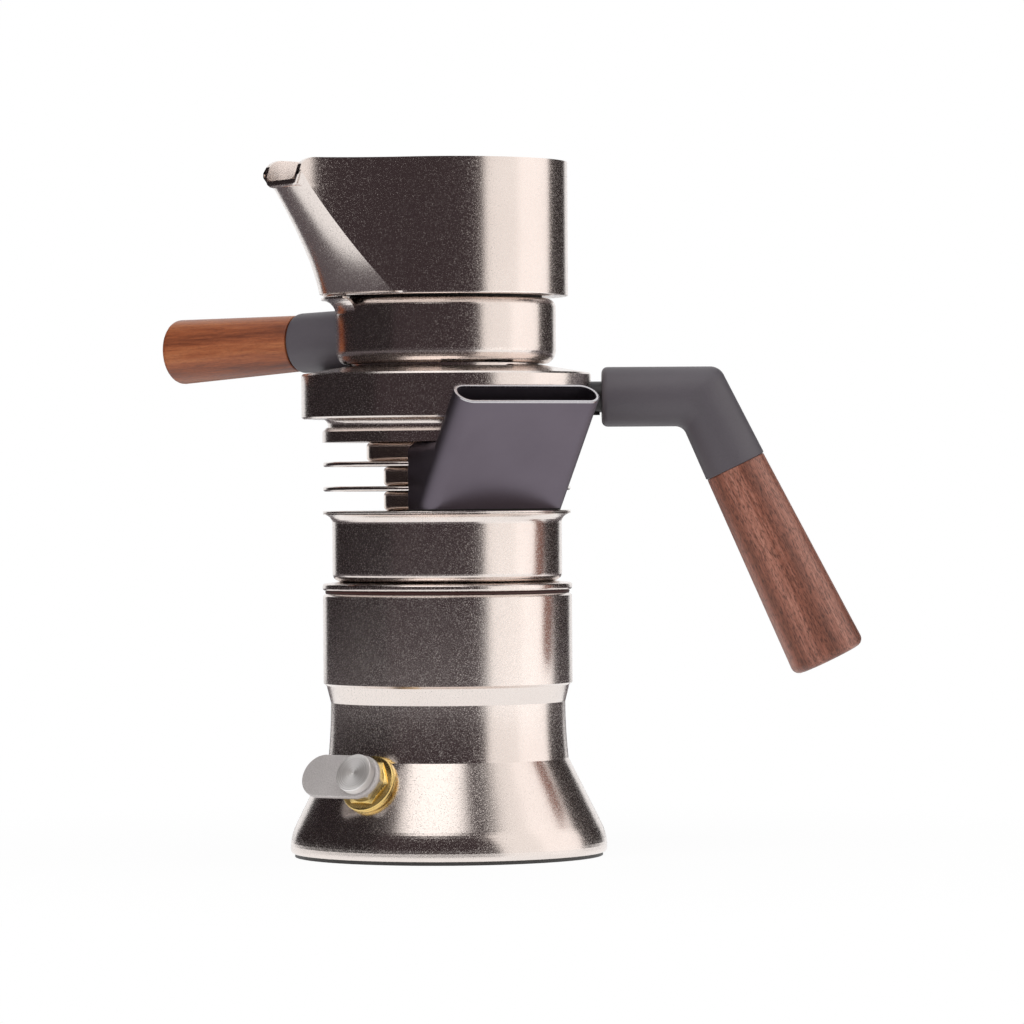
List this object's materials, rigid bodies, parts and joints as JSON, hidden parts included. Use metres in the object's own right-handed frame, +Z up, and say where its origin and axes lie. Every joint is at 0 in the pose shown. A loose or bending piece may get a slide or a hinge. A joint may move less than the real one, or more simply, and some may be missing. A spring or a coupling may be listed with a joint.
{
  "type": "stovetop espresso maker",
  "caption": "Stovetop espresso maker: flared pressure boiler, finned second boiler with fill duct, bayonet portafilter with pouring jug, angled wooden handles and a safety valve.",
  "frame": {"origin": "centre of the base plate's underside, on the surface the object stands on", "axes": "+Z up along the boilers' axis, +X along the main handle, -Y to the front with the fill duct and the safety valve"},
  "size_m": [0.2681, 0.1413, 0.2628],
  "materials": {
    "nickel": "bead-blasted satin nickel plating",
    "dark_plate": "dark satin",
    "maroon_seal": "matte",
    "black_seal": "matte",
    "steel": "turned and brushed",
    "brass": "machined",
    "copper": "drawn tube",
    "black_duct": "satin black coating",
    "grey_fitting": "bead-blasted grey anodised",
    "dark_stud": "blackened",
    "walnut": "oiled walnut"
  },
  "bodies": {
    "base": {"boiler_base": "nickel", "base_plate": "dark_plate", "valve_washer": "brass", "valve_bush": "brass", "valve_body": "steel", "valve_spring": "steel"},
    "valve_stem": {"valve_poppet": "steel", "valve_cap": "steel"},
    "valve_lever": {"valve_tab": "steel"},
    "seal": {"base_seal": "maroon_seal"},
    "upper": {"upper_boiler": "nickel", "upper_lid": "nickel", "spacer_lower": "nickel", "fin_lower": "nickel", "spacer_middle": "nickel", "fin_upper": "nickel", "spacer_upper": "nickel", "riser_tube": "steel", "cooling_coil": "copper", "dip_tube": "steel", "brew_valve_body": "brass", "brew_valve_spring": "steel", "fill_duct": "black_duct", "duct_seal": "black_seal", "group_plate": "nickel", "group_head": "nickel", "group_seal": "black_seal", "shower_screen": "steel", "shower_screw": "steel", "handle_stud": "dark_stud", "stud_lock_screw": "dark_stud", "handle_elbow": "grey_fitting", "handle_rod": "steel", "handle_grip": "walnut"},
    "brew_ball": {"brew_valve_ball": "steel"},
    "portafilter": {"portafilter_ring": "nickel", "filter_basket": "steel", "basket_clip": "steel", "side_stud": "steel", "side_ferrule": "grey_fitting", "side_grip": "walnut", "jug": "nickel", "jug_seal": "black_seal", "coffee_column": "steel", "column_nut": "steel", "column_cap": "steel"}
  },
  "joints": [
    {"name": "base_unscrew_lift", "type": "slide", "parent": "base", "child": "seal", "axis": [0, 0, 1], "range_m": [0, 0.00451]},
    {"name": "base_unscrew", "type": "hinge", "parent": "seal", "child": "upper", "pos_m": [0, 0, 0.0996], "axis": [0, 0, 1], "range_deg": [0, 540]},
    {"name": "bayonet_twist", "type": "hinge", "parent": "upper", "child": "portafilter", "pos_m": [0, 0, 0.18], "axis": [0, 0, 1], "range_deg": [0, 50]},
    {"name": "valve_pull", "type": "slide", "parent": "base", "child": "valve_stem", "axis": [-0.5134, -0.7332, 0.446], "range_m": [0, 0.0012], "stiffness_N_per_m": 600, "springref_m": -0.004, "deforming": ["valve_spring"]},
    {"name": "valve_tab_swivel", "type": "hinge", "parent": "base", "child": "valve_lever", "pos_m": [-0.0285, -0.0407, 0.0288], "axis": [-0.5134, -0.7332, 0.446], "range_deg": [-45, 45]},
    {"name": "brew_valve_lift", "type": "slide", "parent": "upper", "child": "brew_ball", "axis": [0, 0, 1], "range_m": [0, 0.0015], "stiffness_N_per_m": 200, "springref_m": -0.004, "deforming": ["brew_valve_spring"]}
  ],
  "couplings": [
    {"joint": "base_unscrew_lift", "follows": "base_unscrew", "m_per_rad": 0.00047746}
  ]
}
